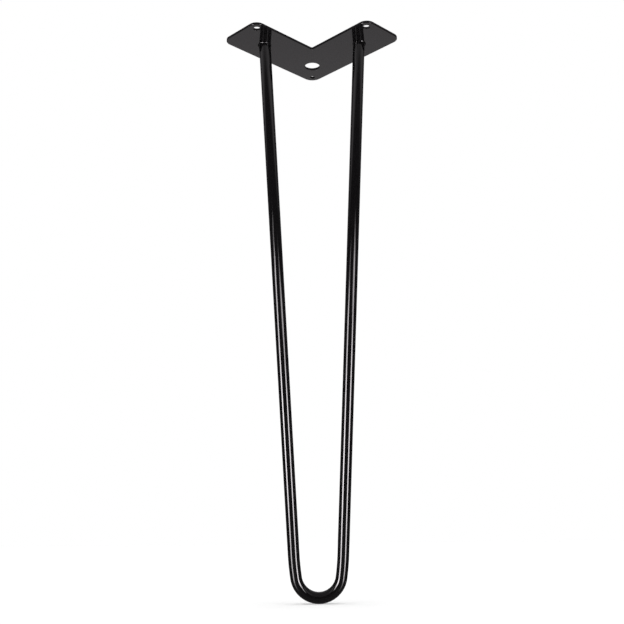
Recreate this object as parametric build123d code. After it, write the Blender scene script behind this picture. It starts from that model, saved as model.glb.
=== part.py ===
"""Hairpin table leg: an L-shaped mounting plate with one bar, bent into a narrow U, welded under it.

Millimetres, +Z up. The origin is the centre of the large hole on the plate's top face, the face that
goes against the table top. +Y points out over the plate's outer corner, the way the leg leans.
"""
from build123d import *
from math import acos, atan2, cos, degrees, hypot, radians, sin, sqrt
import os

# Overall
LEG_HEIGHT = 560.0          # floor to the plate's top face
RAKE = 12.3                 # lean of the bar's plane from the vertical, degrees

# Mounting plate
PLATE_THICKNESS = 2.5
ARM_LENGTH = 128.0          # sharp outer corner to the end of an arm
ARM_WIDTH = 51.0
OUTER_CORNER_RADIUS = 11.0
INNER_CORNER_RADIUS = 1.5
ARM_END_RADIUS = 9.0
PLATE_EDGE_RADIUS = 0.4     # cut edges softened before coating

# Holes
CENTRE_HOLE_DIAMETER = 16.0
END_HOLE_DIAMETER = 7.0
END_HOLE_INSET = 8.5        # hole centre to the arm's end and to its inner edge
CORNER_HOLE_DIAMETER = 5.0
CORNER_HOLE_INSET = 7.0     # hole centre to the tip of the rounded outer corner

# Bent bar
ROD_DIAMETER = 12.0
ROD_FROM_END = 35.75        # bar centre to the arm's end, at the plate
ROD_INSET = 24.0            # bar centre to the arm's outer edge, at the plate
BEND_RADIUS = 23.2          # tight bend at the foot, on the bar's centre line
LEAD_RADIUS = 260.0         # slow curve between each straight limb and the tight bend
LEAD_TURN = 5.4             # turn of that slow curve, degrees

# Weld
WELD_LEG = 1.2              # how far the bead reaches along the plate and along the bar

UNDERSIDE = -PLATE_THICKNESS
OUTER_CORNER_Y = ARM_WIDTH / sqrt(2)
ARM_REACH = ARM_LENGTH - ARM_WIDTH / 2      # from the origin to an arm's end, along the arm


def arm_point(from_end: float, from_outer_edge: float) -> Vector:
    """A point on the right arm, set in from the arm's end and from its outer edge."""
    along = ARM_REACH - from_end
    across = ARM_WIDTH / 2 - from_outer_edge
    return Vector((along + across) / sqrt(2), (across - along) / sqrt(2))


def plate_outline() -> Sketch:
    """Two arms crossed at right angles, with every corner rounded."""
    arm = Rot(0, 0, -45) * Pos(ARM_REACH - ARM_LENGTH / 2, 0) * Rectangle(ARM_LENGTH, ARM_WIDTH)
    outline = arm + mirror(arm, about=Plane.YZ)
    arm_ends = outline.vertices().sort_by_distance((0, 0))[2:]
    outline = fillet(arm_ends, ARM_END_RADIUS)
    for y, radius in ((OUTER_CORNER_Y, OUTER_CORNER_RADIUS), (-OUTER_CORNER_Y, INNER_CORNER_RADIUS)):
        corner = outline.vertices().sort_by_distance((0, y))[0]
        outline = fillet(corner, radius)
    return outline


def mounting_plate() -> Part:
    """The flat plate, with softened edges and four holes."""
    plate = extrude(plate_outline(), amount=-PLATE_THICKNESS)
    faces = plate.faces().sort_by(Axis.Z)
    plate = fillet(faces[0].edges() + faces[-1].edges(), PLATE_EDGE_RADIUS)

    corner_tip = OUTER_CORNER_Y - OUTER_CORNER_RADIUS * (sqrt(2) - 1)
    end_hole = arm_point(END_HOLE_INSET, ARM_WIDTH - END_HOLE_INSET)
    holes = [
        (0, 0, CENTRE_HOLE_DIAMETER),
        (0, corner_tip - CORNER_HOLE_INSET, CORNER_HOLE_DIAMETER),
        (end_hole.X, end_hole.Y, END_HOLE_DIAMETER),
        (-end_hole.X, end_hole.Y, END_HOLE_DIAMETER),
    ]
    for x, y, diameter in holes:
        plate -= Pos(x, y) * Cylinder(diameter / 2, 3 * PLATE_THICKNESS)
    return plate


def hairpin_rod() -> Part:
    """The bar: two straight limbs that close in on each other, eased into one tight bend at the foot."""
    rake = radians(RAKE)
    lead = radians(LEAD_TURN)
    contact = arm_point(ROD_FROM_END, ROD_INSET)
    half_spread = contact.X
    foot = (LEG_HEIGHT - PLATE_THICKNESS - ROD_DIAMETER / 2) / cos(rake)    # down the bar's plane
    bend_centre = foot - BEND_RADIUS

    # The limb's lean towards the middle that makes limb, slow curve and tight bend run on tangent
    offset = LEAD_RADIUS * (1 - cos(lead)) + BEND_RADIUS * cos(lead)
    lean = acos(offset / hypot(half_spread, bend_centre)) - atan2(bend_centre, half_spread)
    drop_of_curves = (
        LEAD_RADIUS * (sin(lean + lead) - sin(lean)) + BEND_RADIUS * (1 - sin(lean + lead))
    )
    limb_length = (foot - drop_of_curves) / cos(lean)

    bar_plane = Plane((0, contact.Y, UNDERSIDE), x_dir=(1, 0, 0), z_dir=(0, -cos(rake), -sin(rake)))
    limb_way = Vector(sin(lean), -cos(lean))
    limb_top = Vector(-half_spread, 0)
    spare = limb_way * ROD_DIAMETER     # bar left over above the plate's underside, then cut flush
    left_limb = Line(limb_top - spare, limb_top + limb_way * limb_length)
    lead_in = JernArc(left_limb @ 1, left_limb % 1, LEAD_RADIUS, LEAD_TURN)
    tight_turn = 180 - 2 * degrees(lean) - 2 * LEAD_TURN
    bend = JernArc(lead_in @ 1, lead_in % 1, BEND_RADIUS, tight_turn)
    lead_out = JernArc(bend @ 1, bend % 1, LEAD_RADIUS, LEAD_TURN)
    right_limb = Line(lead_out @ 1, lead_out @ 1 + (lead_out % 1) * left_limb.length)
    path = bar_plane * Wire([left_limb, lead_in, bend, lead_out, right_limb])
    section = Plane(path @ 0, z_dir=path % 0) * Circle(ROD_DIAMETER / 2)
    bar = sweep(section, path=path)
    return split(bar, bisect_by=Plane.XY.offset(UNDERSIDE), keep=Keep.BOTTOM)


def weld_beads(bar: Part) -> Part:
    """A rounded bead round each cut end of the bar, in the corner between the bar and the plate."""
    beads = Part()
    for cut_end in bar.faces().filter_by(Axis.Z):
        seam = cut_end.outer_wire()
        section = Plane(seam @ 0, z_dir=seam % 0) * Circle(WELD_LEG)
        ring = split(sweep(section, path=seam), bisect_by=Plane.XY.offset(UNDERSIDE), keep=Keep.BOTTOM)
        beads += ring - bar
    return beads


rod = hairpin_rod()
nodes = {
    "mounting_plate": mounting_plate(),
    "hairpin_rod": rod,
    "weld_beads": weld_beads(rod),
}

os.makedirs("parts", exist_ok=True)
for name, solid in nodes.items():
    solid.label = name
    export_step(solid, f"parts/{name}.step")
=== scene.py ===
"""Hairpin table leg: its finished meshes, gloss black coat, studio and camera.

Metres, +Z up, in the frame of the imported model: the origin is the centre of the large hole on the plate's
top face, and +Y points out over the plate's outer corner, the way the leg leans.
"""
import logging
from abc import ABC, abstractmethod
from dataclasses import dataclass
from enum import Enum
from math import acos, atan2, cos, degrees, hypot, pi, radians, sin, sqrt
from typing import Any, ClassVar

import bmesh
import bpy
from bmesh.types import BMEdge, BMesh, BMVert
from mathutils import Matrix, Vector


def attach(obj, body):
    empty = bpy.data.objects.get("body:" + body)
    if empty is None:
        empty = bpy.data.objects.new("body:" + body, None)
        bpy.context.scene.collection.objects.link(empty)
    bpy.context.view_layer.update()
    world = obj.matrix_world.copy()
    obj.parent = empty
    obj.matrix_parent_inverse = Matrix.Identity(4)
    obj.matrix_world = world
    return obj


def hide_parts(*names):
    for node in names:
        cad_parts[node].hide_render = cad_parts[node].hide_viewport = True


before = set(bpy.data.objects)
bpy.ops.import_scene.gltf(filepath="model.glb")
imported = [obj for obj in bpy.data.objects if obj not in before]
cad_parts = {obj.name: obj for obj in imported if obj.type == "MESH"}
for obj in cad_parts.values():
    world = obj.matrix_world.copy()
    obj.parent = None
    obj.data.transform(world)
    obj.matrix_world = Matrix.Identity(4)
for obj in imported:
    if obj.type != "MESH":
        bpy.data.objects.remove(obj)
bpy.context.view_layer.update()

log = logging.getLogger("hairpin_leg")

Colour = tuple[float, float, float]
Stops = list[tuple[float, Colour]]
Shares = tuple[tuple[float, float], ...]

MM = 0.001
BODY = "root"
WHITE: Colour = (1.0, 1.0, 1.0)
FULL_TURN = 360.0       # degrees
ROUND = 0.5             # profile of a rounding that is part of a circle
DEAD_LEVEL = 0.9999     # least share of up or down in the normal of a face that isn't smoothed
LEVEL = 0.99            # least share of up or down in the normal of the plate's flat faces
UPRIGHT = 0.01          # most share of up or down in the normal of the plate's walls


def opaque(colour: Colour) -> tuple[float, float, float, float]:
    """A colour with full alpha, as colour sockets and ramp stops take it."""
    return (*colour, 1.0)


class Field:
    """A value that changes over a surface. Sums, differences and products add Math nodes."""

    def __init__(self, graph: "Graph", socket: bpy.types.NodeSocket) -> None:
        """Wraps one output socket of a graph."""
        self.graph = graph
        self.socket = socket

    def _math(self, operation: str, first: "Field | float", second: "Field | float") -> "Field":
        """Adds one Math node.

        Args:
            operation: The Math node's operation.
            first: Its first value or link.
            second: Its second value or link.

        Returns:
            The node's result.
        """
        return self.graph.node("ShaderNodeMath", {"operation": operation}, {0: first, 1: second})

    def __add__(self, other: "Field | float") -> "Field":
        """This value plus another."""
        return self._math("ADD", self, other)

    def __radd__(self, other: float) -> "Field":
        """A number plus this value."""
        return self._math("ADD", other, self)

    def __sub__(self, other: "Field | float") -> "Field":
        """This value minus another."""
        return self._math("SUBTRACT", self, other)

    def __rsub__(self, other: float) -> "Field":
        """A number minus this value."""
        return self._math("SUBTRACT", other, self)

    def __mul__(self, other: "Field | float") -> "Field":
        """This value times another."""
        return self._math("MULTIPLY", self, other)

    def __rmul__(self, other: float) -> "Field":
        """A number times this value."""
        return self._math("MULTIPLY", other, self)


class Graph:
    """The node tree of a material or of the world, written from empty."""

    def __init__(self, owner: bpy.types.Material | bpy.types.World, output: str) -> None:
        """Clears the owner's tree and gives it its output node.

        Args:
            owner: The material or world.
            output: The type of its output node.
        """
        owner.use_nodes = True
        self.tree = owner.node_tree
        self.tree.nodes.clear()
        self.output = self.tree.nodes.new(output)

    def node(
        self,
        kind: str,
        settings: dict[str, Any],
        inputs: dict[int | str, Any],
        output: int | str = 0,
    ) -> Field:
        """Adds any node.

        Args:
            kind: The node's type.
            settings: Its properties, set first; "stops" are a ramp's positions and colours.
            inputs: Values or links of its sockets.
            output: The socket to hand back.

        Returns:
            That output socket.
        """
        node = self.tree.nodes.new(kind)
        for name, setting in settings.items():
            if name == "stops":
                self._set_stops(node.color_ramp.elements, setting)
            else:
                setattr(node, name, setting)
        for key, value in inputs.items():
            if isinstance(value, Field):
                self.tree.links.new(value.socket, node.inputs[key])
            else:
                node.inputs[key].default_value = value
        return Field(self, node.outputs[output])

    def _set_stops(self, elements: bpy.types.ColorRampElements, stops: Stops) -> None:
        """Gives a ramp its stops.

        Args:
            elements: The new ramp's two elements.
            stops: Positions and colours, from the lowest position up.
        """
        for element, (position, colour) in zip(elements, (stops[0], stops[-1])):
            element.position = position
            element.color = opaque(colour)
        for position, colour in stops[1:-1]:
            elements.new(position).color = opaque(colour)

    def noise(self, place: Field, size: float, detail: float) -> Field:
        """Soft noise.

        Args:
            place: Coordinates in metres.
            size: Size of its largest patches, in metres.
            detail: Octaves of finer noise on top.

        Returns:
            The noise, from 0 to 1.
        """
        inputs = {"Vector": place, "Scale": 1 / size, "Detail": detail}
        return self.node("ShaderNodeTexNoise", {}, inputs, "Fac")

    def blend(self, share: Field, first: Colour, second: Colour) -> Field:
        """Mixes two colours.

        Args:
            share: How much of the second colour shows, from 0 to 1.
            first: Colour at 0.
            second: Colour at 1.

        Returns:
            The mixed colour.
        """
        inputs = {0: share, 6: opaque(first), 7: opaque(second)}
        return self.node("ShaderNodeMix", {"data_type": "RGBA"}, inputs, 2)

    def looked_at(self) -> Field:
        """1 for rays from the camera, off a gloss or through glass, and 0 for the rest."""
        rays = ("Is Camera Ray", "Is Glossy Ray", "Is Transmission Ray")
        camera, glossy, through = (self.node("ShaderNodeLightPath", {}, {}, ray) for ray in rays)
        return camera + glossy + through

    def surface(self, shader: Field) -> None:
        """Links a shader to the output node."""
        self.tree.links.new(shader.socket, self.output.inputs["Surface"])


@dataclass(frozen=True)
class GlossBlackCoat:
    """Gloss black powder coat: a black body under a clear skin that flowed out with a fine orange peel.

    Attributes:
        name: Name of the material.
        deep: Colour where the coat is thick.
        thin: Colour where it is thinner.
        gloss: Roughness of the clean skin.
        haze: Roughness that handling adds in patches.
        refraction: Refractive index of the skin.
        patch_size: Size of the patches of tone and haze.
        patch_detail: Octaves of finer patches within them.
        peel_size: Size of the orange peel's dimples.
        peel_depth: Depth of those dimples.
        sag_size: Length of the slow waves that the coat leaves as it flows down.
        sag_depth: Depth of those waves.
        wave_detail: Octaves of finer dimples and waves.
    """

    name: str
    deep: Colour = (0.0042, 0.0038, 0.0042)
    thin: Colour = (0.0080, 0.0072, 0.0079)
    gloss: float = 0.045
    haze: float = 0.05
    refraction: float = 1.5
    patch_size: float = 38 * MM
    patch_detail: float = 3.0
    peel_size: float = 1.7 * MM
    peel_depth: float = 0.004 * MM
    sag_size: float = 14 * MM
    sag_depth: float = 0.010 * MM
    wave_detail: float = 1.0

    def material(self) -> bpy.types.Material:
        """Writes the coat's nodes.

        Returns:
            The new material.
        """
        made = bpy.data.materials.new(self.name)
        graph = Graph(made, "ShaderNodeOutputMaterial")
        place = graph.node("ShaderNodeTexCoord", {}, {}, "Object")
        patches = graph.noise(place, self.patch_size, self.patch_detail)
        specks = graph.noise(place, self.peel_size, self.wave_detail)
        sags = graph.noise(place, self.sag_size, self.wave_detail)
        height = self.peel_depth * specks + self.sag_depth * sags
        bump = graph.node("ShaderNodeBump", {}, {"Height": height, "Distance": 1.0, "Strength": 1.0})
        inputs = {
            "Base Color": graph.blend(patches, self.deep, self.thin),
            "Roughness": self.gloss + self.haze * patches * specks,
            "IOR": self.refraction,
            "Normal": bump,
        }
        graph.surface(graph.node("ShaderNodeBsdfPrincipled", {}, inputs))
        return made


class Piece(ABC):
    """One finished mesh of the leg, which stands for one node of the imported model."""

    name: ClassVar[str]
    node: ClassVar[str]
    crease: ClassVar[float] = radians(50.0)
    coat: GlossBlackCoat

    @abstractmethod
    def shape(self, mesh: BMesh) -> None:
        """Models the piece in place."""

    def shade(self, mesh: BMesh) -> None:
        """Smooths everything but the level faces and the sharp edges."""
        for face in mesh.faces:
            face.smooth = abs(face.normal.z) < DEAD_LEVEL
        for edge in mesh.edges:
            edge.smooth = edge.calc_face_angle(0.0) < self.crease

    def build(self) -> bpy.types.Object:
        """Models the piece, dresses it and fastens it to the frame.

        Returns:
            The new object.
        """
        mesh = bmesh.new()
        self.shape(mesh)
        bmesh.ops.recalc_face_normals(mesh, faces=mesh.faces[:])
        self.shade(mesh)
        data = bpy.data.meshes.new(self.name)
        mesh.to_mesh(data)
        mesh.free()
        data.materials.append(self.coat.material())
        made = bpy.data.objects.new(self.name, data)
        bpy.context.scene.collection.objects.link(made)
        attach(made, BODY)
        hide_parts(self.node)
        log.info("%s: %d faces, in place of %s", made.name, len(data.polygons), self.node)
        return made


@dataclass
class CornerPlate(Piece):
    """The L-shaped plate that is screwed under a corner of the table top."""

    name: ClassVar[str] = "corner_plate"
    node: ClassVar[str] = "mounting_plate"

    thickness: float = 2.5 * MM
    arm_length: float = 128.0 * MM
    arm_width: float = 51.0 * MM
    outer_corner_radius: float = 11.0 * MM
    inner_corner_radius: float = 1.5 * MM
    arm_end_radius: float = 9.0 * MM
    edge_radius: float = 0.4 * MM
    centre_hole_diameter: float = 16.0 * MM
    end_hole_diameter: float = 7.0 * MM
    end_hole_inset: float = 8.5 * MM
    corner_hole_diameter: float = 5.0 * MM
    corner_hole_inset: float = 7.0 * MM
    hole_edge_radius: float = 0.2 * MM
    corner_steps: int = 14
    hole_steps: int = 56
    edge_steps: int = 3
    flat_within: float = radians(0.5)
    rim_within: float = 0.1 * MM
    coat: GlossBlackCoat = GlossBlackCoat("plate_coat")

    @property
    def arm_reach(self) -> float:
        """From the origin to an arm's end, along the arm."""
        return self.arm_length - self.arm_width / 2

    def arm_point(self, from_end: float, from_outer_edge: float) -> Vector:
        """A point on the right arm.

        Args:
            from_end: Distance in from the arm's end.
            from_outer_edge: Distance in from the arm's outer edge.

        Returns:
            The point on the plate's top face.
        """
        along = self.arm_reach - from_end
        across = self.arm_width / 2 - from_outer_edge
        return Vector(((along + across) / sqrt(2), (across - along) / sqrt(2), 0.0))

    def shape(self, mesh: BMesh) -> None:
        """Cuts the outline and the holes, gives the sheet its thickness and softens its edges."""
        self._cut_outline(mesh)
        for centre, diameter in self._holes():
            place = Matrix.Translation(centre)
            bmesh.ops.create_circle(mesh, segments=self.hole_steps, radius=diameter / 2, matrix=place)
        bmesh.ops.triangle_fill(mesh, use_beauty=True, edges=mesh.edges[:])
        flat = mesh.verts[:] + mesh.edges[:] + mesh.faces[:]
        grown = bmesh.ops.extrude_face_region(mesh, geom=flat)["geom"]
        new_verts = [item for item in grown if isinstance(item, BMVert)]
        bmesh.ops.translate(mesh, verts=new_verts, vec=(0, 0, -self.thickness))
        bmesh.ops.recalc_face_normals(mesh, faces=mesh.faces[:])
        bmesh.ops.dissolve_limit(
            mesh, angle_limit=self.flat_within, verts=mesh.verts[:], edges=self._inside_flats(mesh)
        )
        self._soften(mesh, self._rims(mesh, at_holes=True), self.hole_edge_radius)
        self._soften(mesh, self._rims(mesh, at_holes=False), self.edge_radius)

    def _cut_outline(self, mesh: BMesh) -> None:
        """Draws the rounded outline as a ring of edges."""
        tip = Vector((0, self.arm_width / sqrt(2), 0))
        right_outer = self.arm_point(0, 0)
        right_inner = self.arm_point(0, self.arm_width)
        flip = Matrix.Scale(-1, 3, (1, 0, 0))
        corners = [
            (tip, self.outer_corner_radius),
            (right_outer, self.arm_end_radius),
            (right_inner, self.arm_end_radius),
            (-tip, self.inner_corner_radius),
            (flip @ right_inner, self.arm_end_radius),
            (flip @ right_outer, self.arm_end_radius),
        ]
        verts = [mesh.verts.new(point) for point, _ in corners]
        mesh.faces.new(verts)
        for vert, (_, radius) in zip(verts, corners):
            bmesh.ops.bevel(
                mesh,
                geom=[vert],
                offset=radius,
                offset_type="ABSOLUTE",
                segments=self.corner_steps,
                profile=ROUND,
                affect="VERTICES",
                material=-1,
            )
        bmesh.ops.delete(mesh, geom=mesh.faces[:], context="FACES_ONLY")

    def _holes(self) -> list[tuple[Vector, float]]:
        """Centre and diameter of the four holes."""
        rounded_tip = self.arm_width / sqrt(2) - self.outer_corner_radius * (sqrt(2) - 1)
        end_hole = self.arm_point(self.end_hole_inset, self.arm_width - self.end_hole_inset)
        return [
            (Vector((0, 0, 0)), self.centre_hole_diameter),
            (Vector((0, rounded_tip - self.corner_hole_inset, 0)), self.corner_hole_diameter),
            (end_hole, self.end_hole_diameter),
            (Vector((-end_hole.x, end_hole.y, 0)), self.end_hole_diameter),
        ]

    def _inside_flats(self, mesh: BMesh) -> list[BMEdge]:
        """Edges with a flat face on both sides."""
        return [
            edge for edge in mesh.edges if all(abs(face.normal.z) > LEVEL for face in edge.link_faces)
        ]

    def _rims(self, mesh: BMesh, at_holes: bool) -> list[BMEdge]:
        """Edges between a flat face and the wall of the outline or of a hole.

        Args:
            mesh: The plate.
            at_holes: Whether to take the holes' edges or the outline's.

        Returns:
            Those edges.
        """
        rims = []
        for edge in mesh.edges:
            levels = sorted(abs(face.normal.z) for face in edge.link_faces)
            if levels[0] > UPRIGHT or levels[1] < LEVEL:
                continue
            middle = (edge.verts[0].co + edge.verts[1].co) / 2
            distances = [
                abs(hypot(middle.x - centre.x, middle.y - centre.y) - diameter / 2)
                for centre, diameter in self._holes()
            ]
            if (min(distances) < self.rim_within) == at_holes:
                rims.append(edge)
        return rims

    def _soften(self, mesh: BMesh, edges: list[BMEdge], radius: float) -> None:
        """Rounds edges over.

        Args:
            mesh: The plate.
            edges: The edges to round.
            radius: Their new radius.
        """
        bmesh.ops.bevel(
            mesh,
            geom=edges,
            offset=radius,
            offset_type="OFFSET",
            segments=self.edge_steps,
            profile=ROUND,
            affect="EDGES",
            material=-1,
        )


@dataclass
class BentBar(Piece):
    """One round bar: two straight limbs that close in on each other, eased into one tight bend."""

    name: ClassVar[str] = "bent_bar"
    node: ClassVar[str] = "hairpin_rod"

    plate: CornerPlate
    leg_height: float = 560.0 * MM
    rake: float = radians(12.3)
    diameter: float = 12.0 * MM
    from_arm_end: float = 35.75 * MM
    from_outer_edge: float = 24.0 * MM
    bend_radius: float = 23.2 * MM
    lead_radius: float = 260.0 * MM
    lead_turn: float = radians(5.4)
    round_steps: int = 72
    limb_steps: int = 26
    lead_steps: int = 10
    bend_steps: int = 64
    coat: GlossBlackCoat = GlossBlackCoat("bar_coat")

    @property
    def contact(self) -> Vector:
        """Where the right limb's centre line meets the plate's underside."""
        point = self.plate.arm_point(self.from_arm_end, self.from_outer_edge)
        return Vector((point.x, point.y, -self.plate.thickness))

    @property
    def foot(self) -> float:
        """From the underside to the bar's centre line at the foot, down the bar's plane."""
        return (self.leg_height - self.plate.thickness - self.diameter / 2) / cos(self.rake)

    @property
    def lean(self) -> float:
        """The limb's lean towards the middle that makes limb, slow curve and tight bend run on tangent."""
        bend_centre = self.foot - self.bend_radius
        offset = self.lead_radius * (1 - cos(self.lead_turn)) + self.bend_radius * cos(self.lead_turn)
        return acos(offset / hypot(self.contact.x, bend_centre)) - atan2(bend_centre, self.contact.x)

    @property
    def limb_length(self) -> float:
        """Length of a straight limb, from the underside to the slow curve."""
        turned = self.lean + self.lead_turn
        lead_drop = self.lead_radius * (sin(turned) - sin(self.lean))
        bend_drop = self.bend_radius * (1 - sin(turned))
        return (self.foot - lead_drop - bend_drop) / cos(self.lean)

    @property
    def placement(self) -> Matrix:
        """From the bar's own plane, with the limbs along its Y, to the leg."""
        place = Matrix.Translation((0, self.contact.y, self.contact.z))
        return place @ Matrix.Rotation(self.rake + pi / 2, 4, "X")

    def limb_way(self, side: int) -> Vector:
        """Direction down a limb: side is 1 for the right one and -1 for the left one."""
        flat = Vector((-side * sin(self.lean), -cos(self.lean), 0))
        return self.placement.to_3x3() @ flat

    def shape(self, mesh: BMesh) -> None:
        """Draws the bar along its bent line, then cuts both ends flush with the plate's underside."""
        heading = Vector((sin(self.lean), -cos(self.lean), 0))
        spare = self.diameter
        start = Vector((-self.contact.x, 0, 0)) - heading * spare
        facing = heading.to_track_quat("Z", "X").to_matrix().to_4x4()
        bmesh.ops.create_circle(
            mesh,
            segments=self.round_steps,
            radius=self.diameter / 2,
            matrix=Matrix.Translation(start) @ facing,
        )
        ring = mesh.edges[:]
        limb = self.limb_length + spare
        tight_turn = pi - 2 * self.lean - 2 * self.lead_turn
        ring = self._run_straight(mesh, ring, heading, limb)
        point = start + heading * limb
        turns = (
            (self.lead_radius, self.lead_turn, self.lead_steps),
            (self.bend_radius, tight_turn, self.bend_steps),
            (self.lead_radius, self.lead_turn, self.lead_steps),
        )
        for radius, angle, steps in turns:
            centre = point + Vector((-heading.y, heading.x, 0)) * radius
            ring = self._run_round(mesh, ring, centre, angle, steps)
            turn = Matrix.Rotation(angle, 3, "Z")
            point = centre + turn @ (point - centre)
            heading = turn @ heading
        self._run_straight(mesh, ring, heading, limb)
        bmesh.ops.transform(mesh, matrix=self.placement, verts=mesh.verts[:])
        cut = bmesh.ops.bisect_plane(
            mesh,
            geom=mesh.verts[:] + mesh.edges[:] + mesh.faces[:],
            plane_co=self.contact,
            plane_no=(0, 0, 1),
            clear_outer=True,
        )["geom_cut"]
        bmesh.ops.edgeloop_fill(mesh, edges=[item for item in cut if isinstance(item, BMEdge)])

    def _run_straight(self, mesh: BMesh, ring: list[BMEdge], way: Vector, length: float) -> list[BMEdge]:
        """Carries the bar on in a straight line.

        Args:
            mesh: The bar so far.
            ring: Edges of its open end.
            way: Direction to go in.
            length: Distance to go.

        Returns:
            Edges of the new open end.
        """
        for _ in range(self.limb_steps):
            grown = bmesh.ops.extrude_edge_only(mesh, edges=ring)["geom"]
            verts = [item for item in grown if isinstance(item, BMVert)]
            bmesh.ops.translate(mesh, verts=verts, vec=way * (length / self.limb_steps))
            ring = [item for item in grown if isinstance(item, BMEdge)]
        return ring

    def _run_round(
        self, mesh: BMesh, ring: list[BMEdge], centre: Vector, angle: float, steps: int
    ) -> list[BMEdge]:
        """Carries the bar on round a bend.

        Args:
            mesh: The bar so far.
            ring: Edges of its open end.
            centre: Centre of the bend.
            angle: How far it turns.
            steps: Number of faces along the bend.

        Returns:
            Edges of the new open end.
        """
        last = bmesh.ops.spin(
            mesh, geom=ring, cent=centre, axis=(0, 0, 1), angle=angle, steps=steps, use_merge=False
        )["geom_last"]
        return [item for item in last if isinstance(item, BMEdge)]


@dataclass
class WeldRings(Piece):
    """The bead of weld metal round each end of the bar, with the ripples its pool left."""

    name: ClassVar[str] = "weld_rings"
    node: ClassVar[str] = "weld_beads"

    bar: BentBar
    leg: float = 1.2 * MM
    sunk: float = 0.3 * MM
    inner_thinning: float = 0.45
    ripples: int = 26
    ripple_depth: float = 0.05 * MM
    ripple_sweep: float = 1.6
    tie_in_swell: float = 0.55 * MM
    tie_in_width: float = radians(22.0)
    left_tie_in: float = radians(4.0)
    right_tie_in: float = radians(-18.0)
    section_steps: int = 10
    steps_per_ripple: int = 8
    coat: GlossBlackCoat = GlossBlackCoat("weld_coat", peel_size=1.2 * MM)

    def shape(self, mesh: BMesh) -> None:
        """Makes one round bead, then fits it to each limb's slanting end."""
        front = -pi / 2
        for side, tie_in in ((1, self.right_tie_in), (-1, self.left_tie_in)):
            ring = bmesh.new()
            self._round_bead(ring)
            inner_side = pi if side == 1 else 0.0
            self._lay_bead(ring, inner_side, front + tie_in)
            bmesh.ops.transform(ring, matrix=self._fit(side), verts=ring.verts[:])
            part = bpy.data.meshes.new("bead")
            ring.to_mesh(part)
            ring.free()
            mesh.from_mesh(part)
            bpy.data.meshes.remove(part)

    def _round_bead(self, ring: BMesh) -> None:
        """Spins the bead's section round an upright bar."""
        radius = self.bar.diameter / 2
        toe = ring.verts.new((radius + self.leg, 0, 0))
        arc = bmesh.ops.spin(
            ring,
            geom=[toe],
            cent=(radius, 0, 0),
            axis=(0, 1, 0),
            angle=pi / 2,
            steps=self.section_steps,
        )["geom_last"]
        top = next(item for item in arc if isinstance(item, BMVert))
        inner_low = ring.verts.new((radius - self.sunk, 0, -self.leg))
        inner_high = ring.verts.new((radius - self.sunk, 0, 0))
        for pair in ((top, inner_low), (inner_low, inner_high), (inner_high, toe)):
            ring.edges.new(pair)
        bmesh.ops.spin(
            ring,
            geom=ring.edges[:],
            axis=(0, 0, 1),
            angle=2 * pi,
            steps=self.ripples * self.steps_per_ripple,
            use_merge=True,
        )

    def _lay_bead(self, ring: BMesh, inner_side: float, tie_in: float) -> None:
        """Thins the bead between the limbs, and raises its ripples and the lump where it ends on its start.

        Args:
            ring: The round bead.
            inner_side: Angle round the bar that faces the other limb.
            tie_in: Angle round the bar of that lump.
        """
        radius = self.bar.diameter / 2
        for vert in ring.verts:
            out = hypot(vert.co.x, vert.co.y) - radius
            reach = hypot(out, vert.co.z)
            if out < -self.sunk / 2 or reach < self.leg / 2:
                continue
            angle = atan2(vert.co.y, vert.co.x)
            section = sin(2 * atan2(-vert.co.z, out))
            wave = cos(self.ripples * angle + self.ripple_sweep * section)
            away = (angle - tie_in + pi) % (2 * pi) - pi
            swell = self.tie_in_swell / (1 + (away / self.tie_in_width) ** 2) ** 2
            thinned = self.inner_thinning * (1 + cos(angle - inner_side)) / 2
            grow = 1 - thinned + section * (self.ripple_depth * (wave - 1) / 2 + swell) / self.leg
            flat = (radius + out * grow) / (radius + out)
            vert.co = Vector((vert.co.x * flat, vert.co.y * flat, vert.co.z * grow))

    def _fit(self, side: int) -> Matrix:
        """Stretches and slants the round bead to the section of a limb at the plate.

        Args:
            side: 1 for the right limb and -1 for the left one.

        Returns:
            The matrix that puts the bead in place.
        """
        way = self.bar.limb_way(side)
        across = Vector((way.x, way.y, 0)).normalized()
        stretch = Matrix.Scale(1 / abs(way.z), 4, across)
        slant = Matrix.Identity(4)
        slant[0][2] = way.x / way.z
        slant[1][2] = way.y / way.z
        contact = self.bar.contact
        return Matrix.Translation((side * contact.x, contact.y, contact.z)) @ slant @ stretch


class Seen(Enum):
    """Which rays meet a stage object."""

    IN_REFLECTIONS = "in reflections"
    DIRECTLY = "directly"


class Way(Enum):
    """The axis along which a glow changes."""

    BACK = "Y"
    UP = "Z"


@dataclass(frozen=True)
class Glow:
    """Light from a card or cloth, changing along one axis.

    Attributes:
        name: Name of the material.
        level: Brightness where it is full, 1 being white.
        shares: Places along the axis, from the lowest up, each with its share of the level.
        way: That axis.
        tint: Colour of the light.
    """

    name: str
    level: float
    shares: Shares
    way: Way = Way.UP
    tint: Colour = (1.0, 0.957, 0.985)

    @property
    def low(self) -> float:
        """Where the glow starts."""
        return self.shares[0][0]

    @property
    def high(self) -> float:
        """Where the glow ends."""
        return self.shares[-1][0]

    def material(self) -> bpy.types.Material:
        """Writes the glow's nodes.

        Returns:
            The new material.
        """
        made = bpy.data.materials.new(self.name)
        graph = Graph(made, "ShaderNodeOutputMaterial")
        place = graph.node("ShaderNodeTexCoord", {}, {}, "Object")
        along = graph.node("ShaderNodeSeparateXYZ", {}, {"Vector": place}, self.way.value)
        run = self.high - self.low
        stops = [
            ((at - self.low) / run, tuple(share * part for part in self.tint)) for at, share in self.shares
        ]
        ramp = graph.node("ShaderNodeValToRGB", {"stops": stops}, {"Fac": (along - self.low) * (1 / run)})
        graph.surface(graph.node("ShaderNodeEmission", {}, {"Color": ramp, "Strength": self.level}))
        return made


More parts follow.
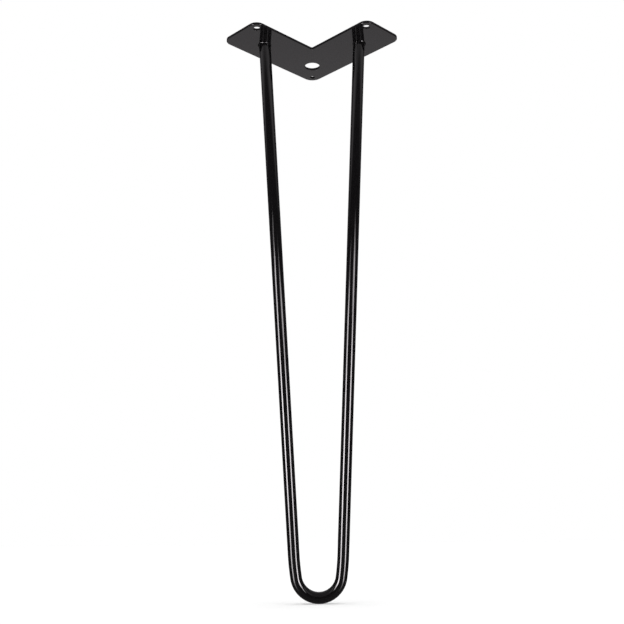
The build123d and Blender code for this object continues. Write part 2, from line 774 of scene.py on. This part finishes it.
@dataclass(frozen=True)
class Span:
    """Part of a turn round the leg's upright axis, in degrees from the camera's side towards +X."""

    start: float
    end: float

    @property
    def turn(self) -> float:
        """How much of a turn it takes up."""
        return self.end - self.start


@dataclass(frozen=True)
class Card:
    """A card bent round the leg's upright axis, which shows only in reflections.

    Attributes:
        name: Name of the object.
        foot: What its lower edge takes up.
        head: What its upper edge takes up.
        radius: Its distance from the leg's upright axis.
        glow: What it shows, and its height.
        steps: Number of faces along it.
    """

    name: str
    foot: Span
    head: Span
    radius: float
    glow: Glow
    steps: int = 48

    def build(self) -> bpy.types.Object:
        """Makes the card in its place.

        Returns:
            The new object.
        """
        mesh = bmesh.new()
        self._edge(mesh, self.foot, self.glow.low)
        self._edge(mesh, self.head, self.glow.high)
        bmesh.ops.bridge_loops(mesh, edges=mesh.edges[:])
        return stage_object(self.name, mesh, self.glow.material(), Seen.IN_REFLECTIONS)

    def _edge(self, mesh: BMesh, span: Span, height: float) -> None:
        """Draws the card's lower or upper edge.

        Args:
            mesh: The card.
            span: What the edge takes up.
            height: How high it is.
        """
        corner = Matrix.Rotation(radians(span.start), 3, "Z") @ Vector((0, -self.radius, height))
        bmesh.ops.spin(
            mesh,
            geom=[mesh.verts.new(corner)],
            axis=(0, 0, 1),
            angle=radians(span.turn),
            steps=self.steps,
            use_merge=span.turn == FULL_TURN,
        )


@dataclass(frozen=True)
class Cloth:
    """A level round cloth above or below the leg, which shows only in reflections.

    Attributes:
        name: Name of the object.
        height: How high it hangs.
        radius: Its radius.
        glow: What it shows.
        steps: Number of edges round it.
    """

    name: str
    height: float
    radius: float
    glow: Glow
    steps: int = 96

    def build(self) -> bpy.types.Object:
        """Makes the cloth in its place.

        Returns:
            The new object.
        """
        mesh = bmesh.new()
        level = Matrix.Translation((0, 0, self.height))
        bmesh.ops.create_circle(mesh, cap_ends=True, segments=self.steps, radius=self.radius, matrix=level)
        return stage_object(self.name, mesh, self.glow.material(), Seen.IN_REFLECTIONS)


def stage_object(
    name: str, mesh: BMesh, material: bpy.types.Material, seen: Seen
) -> bpy.types.Object:
    """Turns a mesh into an object that isn't part of the leg.

    Args:
        name: Name of the object.
        mesh: Its mesh, used up.
        material: Its material.
        seen: Which rays meet it.

    Returns:
        The new object.
    """
    data = bpy.data.meshes.new(name)
    mesh.to_mesh(data)
    mesh.free()
    data.materials.append(material)
    made = bpy.data.objects.new(name, data)
    bpy.context.scene.collection.objects.link(made)
    if seen is Seen.IN_REFLECTIONS:
        made.visible_camera = False
        made.visible_diffuse = False
        made.visible_shadow = False
    else:
        made.visible_glossy = False
    log.info("%s: seen %s", name, seen.value)
    return made


@dataclass
class Studio:
    """A pale floor under soft light, with dark drapes and a few bright cards for the gloss to show."""

    floor_height: float = -560.0 * MM
    floor_size: float = 60.0
    floor_tone: Colour = (0.80, 0.80, 0.80)
    floor_lift: float = 0.16
    fill: float = 0.55
    key_strength: float = 1.9
    key_angle: float = radians(70.0)
    key_tilt: float = radians(20.0)
    surroundings: tuple[Card | Cloth, ...] = ()

    def build(self) -> None:
        """Makes the floor, what the gloss shows, the key light and the world."""
        self._floor()
        for item in self.surroundings:
            item.build()
        self._key()
        self._world()

    def _floor(self) -> None:
        """A plain pale floor, which shows a little lifted, and which is clear from below."""
        mesh = bmesh.new()
        level = Matrix.Translation((0, 0, self.floor_height))
        bmesh.ops.create_grid(mesh, x_segments=1, y_segments=1, size=self.floor_size / 2, matrix=level)
        material = bpy.data.materials.new("pale_floor")
        graph = Graph(material, "ShaderNodeOutputMaterial")
        matt = graph.node("ShaderNodeBsdfDiffuse", {}, {"Color": opaque(self.floor_tone)})
        lift = graph.node("ShaderNodeEmission", {}, {"Strength": self.floor_lift * graph.looked_at()})
        lit = graph.node("ShaderNodeAddShader", {}, {0: matt, 1: lift})
        underneath = graph.node("ShaderNodeNewGeometry", {}, {}, "Backfacing")
        clear = graph.node("ShaderNodeBsdfTransparent", {}, {})
        graph.surface(graph.node("ShaderNodeMixShader", {}, {0: underneath, 1: lit, 2: clear}))
        stage_object("floor", mesh, material, Seen.DIRECTLY)

    def _key(self) -> None:
        """A broad soft light from high up."""
        lamp = bpy.data.lights.new("key", "SUN")
        lamp.energy = self.key_strength
        lamp.angle = self.key_angle
        made = bpy.data.objects.new("key", lamp)
        made.rotation_euler = (self.key_tilt, 0, 0)
        made.visible_glossy = False
        bpy.context.scene.collection.objects.link(made)

    def _world(self) -> None:
        """White to look at and in reflections, and a plain fill light otherwise."""
        world = bpy.data.worlds.new("studio")
        bpy.context.scene.world = world
        graph = Graph(world, "ShaderNodeOutputWorld")
        strength = self.fill + (1 - self.fill) * graph.looked_at()
        light = {"Color": opaque(WHITE), "Strength": strength}
        graph.surface(graph.node("ShaderNodeBackground", {}, light))


@dataclass(frozen=True)
class PhotoCamera:
    """The camera, low in front of the leg and tilted up at it.

    Attributes:
        place: Where it stands.
        yaw: Turn to the right of +Y.
        pitch: Tilt above the horizon.
        roll: Turn about its own line of sight.
        lens: Focal length in millimetres on the sensor.
        sensor: Width of the sensor in millimetres.
    """

    place: tuple[float, float, float] = (2.36 * MM, -922.81 * MM, -499.51 * MM)
    yaw: float = radians(-0.3535)
    pitch: float = radians(13.729)
    roll: float = radians(-0.6676)
    lens: float = 54.433
    sensor: float = 36.0

    def build(self) -> None:
        """Makes the camera and looks through it."""
        lens = bpy.data.cameras.new("camera")
        lens.sensor_width = self.sensor
        lens.lens = self.lens
        made = bpy.data.objects.new("camera", lens)
        turn = Matrix.Rotation(-self.yaw, 4, "Z") @ Matrix.Rotation(pi / 2 + self.pitch, 4, "X")
        made.matrix_world = Matrix.Translation(self.place) @ turn @ Matrix.Rotation(self.roll, 4, "Z")
        bpy.context.scene.collection.objects.link(made)
        bpy.context.scene.camera = made
        log.info("camera: %.2f mm lens, %.1f degrees up", self.lens, degrees(self.pitch))


def drapes_and_cloths() -> tuple[Card | Cloth, ...]:
    """Dark cloth all round the leg, below it and above it.

    Returns:
        The drapes, the cloth below and the cloth above.
    """
    drapes_away = 1.6
    cloth_edge = 1.7
    drape_level = 0.15
    under_level = 0.10
    over_level = 0.5
    drape = ((-2.4, 0.6), (-1.4, 0.6), (-1.1, 0.1), (-0.1, 0.1), (0.5, 1.0), (1.1, 1.0))
    even = ((-cloth_edge, 1.0), (cloth_edge, 1.0))
    overhead = ((-cloth_edge, 0.3), (0.0, 0.4), (0.4, 0.5), (0.9, 1.0), (cloth_edge, 1.0))
    all_round = Span(0, FULL_TURN)
    drape_glow = Glow("drape_glow", drape_level, drape)
    under_glow = Glow("under_glow", under_level, even, Way.BACK)
    over_glow = Glow("over_glow", over_level, overhead, Way.BACK)
    return (
        Card("drapes", all_round, all_round, drapes_away, drape_glow),
        Cloth("under_cloth", drape_glow.low, cloth_edge, under_glow),
        Cloth("over_cloth", drape_glow.high, cloth_edge, over_glow),
    )


def front_strips() -> tuple[Card, ...]:
    """Two tall strips in front of the leg, which show as long highlights down its limbs.

    Returns:
        The left strip and its head, and the right strip, its head and a wing beside that.
    """
    strips_away = 1.4
    wing_away = 1.41
    left_level = 25.5
    right_level = 20.0
    left = Span(-61.5, -40.5)
    left_top = Span(-58, -32)
    right = Span(39, 58)
    right_top = Span(28, 56)
    wing = Span(24, 40)
    left_strip = (
        (-2.20, 0.0), (-1.80, 0.04), (-1.47, 0.16), (-1.41, 0.30), (-1.23, 0.42), (-1.11, 0.50),
        (-1.01, 0.68), (-0.96, 0.80), (-0.87, 0.93), (-0.79, 1.0), (-0.71, 0.93), (-0.63, 0.80),
        (-0.56, 0.67),
    )
    left_head = (
        (-0.56, 0.67), (-0.50, 0.57), (-0.46, 0.54), (-0.41, 0.46), (-0.385, 0.56), (-0.365, 0.42),
        (-0.345, 0.21), (-0.33, 0.06), (-0.31, 0.045), (-0.295, 0.13), (-0.28, 0.13), (-0.265, 0.0),
    )
    right_strip = (
        (-2.20, 0.0), (-1.80, 0.06), (-1.47, 0.22), (-1.41, 0.40), (-1.23, 0.62), (-1.11, 0.80),
        (-1.01, 0.88), (-0.96, 0.94), (-0.79, 1.0), (-0.71, 1.0), (-0.63, 0.92), (-0.56, 0.78),
    )
    right_head = (
        (-0.56, 0.78), (-0.50, 0.50), (-0.45, 0.43), (-0.38, 0.47), (-0.355, 0.31), (-0.325, 0.22),
        (-0.31, 0.12), (-0.295, 0.06), (-0.265, 0.0),
    )
    right_wing = ((-0.56, 0.0), (-0.50, 0.16), (-0.44, 0.16), (-0.40, 0.12), (-0.37, 0.0))
    return (
        Card("left_strip", left, left, strips_away, Glow("left_glow", left_level, left_strip)),
        Card("left_head", left, left_top, strips_away, Glow("left_head_glow", left_level, left_head)),
        Card("right_strip", right, right, strips_away, Glow("right_glow", right_level, right_strip)),
        Card("right_head", right, right_top, strips_away, Glow("right_head_glow", right_level, right_head)),
        Card("right_wing", wing, wing, wing_away, Glow("right_wing_glow", right_level, right_wing)),
    )


def front_bands() -> tuple[Card, ...]:
    """A pale band in front, higher than the leg, which shows as faint stripes on the upper limbs.

    Returns:
        The band's left, middle and right parts.
    """
    band_away = 1.5
    left_level = 0.74
    level = 0.66
    left = Span(-95, -36)
    middle = Span(-36, 22)
    right = Span(22, 87)
    rise = ((0.015, 0.0), (0.065, 0.2), (0.105, 0.55), (0.145, 0.75))
    tall = (*rise, (0.205, 0.95), (0.265, 1.0), (0.365, 1.0), (0.485, 0.1))
    short = (*rise, (0.185, 0.75), (0.205, 0.0))
    return (
        Card("left_band", left, left, band_away, Glow("left_band_glow", left_level, tall)),
        Card("middle_band", middle, middle, band_away, Glow("middle_band_glow", level, short)),
        Card("right_band", right, right, band_away, Glow("right_band_glow", level, tall)),
    )


def back_cards() -> tuple[Card, ...]:
    """Cards behind the leg, for the plate's underside and for the limbs' far side.

    Returns:
        The low sweep, the upper card and the panel between them.
    """
    sweep_away = 1.35
    card_away = 1.45
    panel_away = 1.4
    sweep_level = 0.5
    card_level = 1.2
    panel_level = 2.0
    broad = Span(160, 200)
    narrow = Span(170, 190)
    sweep = ((-1.3, 1.0), (-0.5, 1.0))
    card = ((0.15, 0.0), (0.30, 1.0), (0.9, 1.0))
    panel = ((-0.48, 0.0), (-0.40, 0.5), (-0.20, 0.9), (0.0, 1.0), (0.2, 0.7), (0.35, 0.0))
    return (
        Card("low_sweep", broad, broad, sweep_away, Glow("sweep_glow", sweep_level, sweep)),
        Card("back_card", narrow, narrow, card_away, Glow("back_glow", card_level, card)),
        Card("back_panel", narrow, narrow, panel_away, Glow("back_panel_glow", panel_level, panel)),
    )


def main() -> None:
    """Builds the leg, the studio and the camera."""
    logging.basicConfig(level=logging.INFO, format="%(name)s: %(message)s")
    bpy.context.scene.view_settings.view_transform = "Standard"
    plate = CornerPlate()
    bar = BentBar(plate)
    for piece in (plate, bar, WeldRings(bar)):
        piece.build()
    surroundings = (*drapes_and_cloths(), *front_strips(), *front_bands(), *back_cards())
    Studio(surroundings=surroundings).build()
    PhotoCamera().build()


if __name__ == "__main__":
    main()
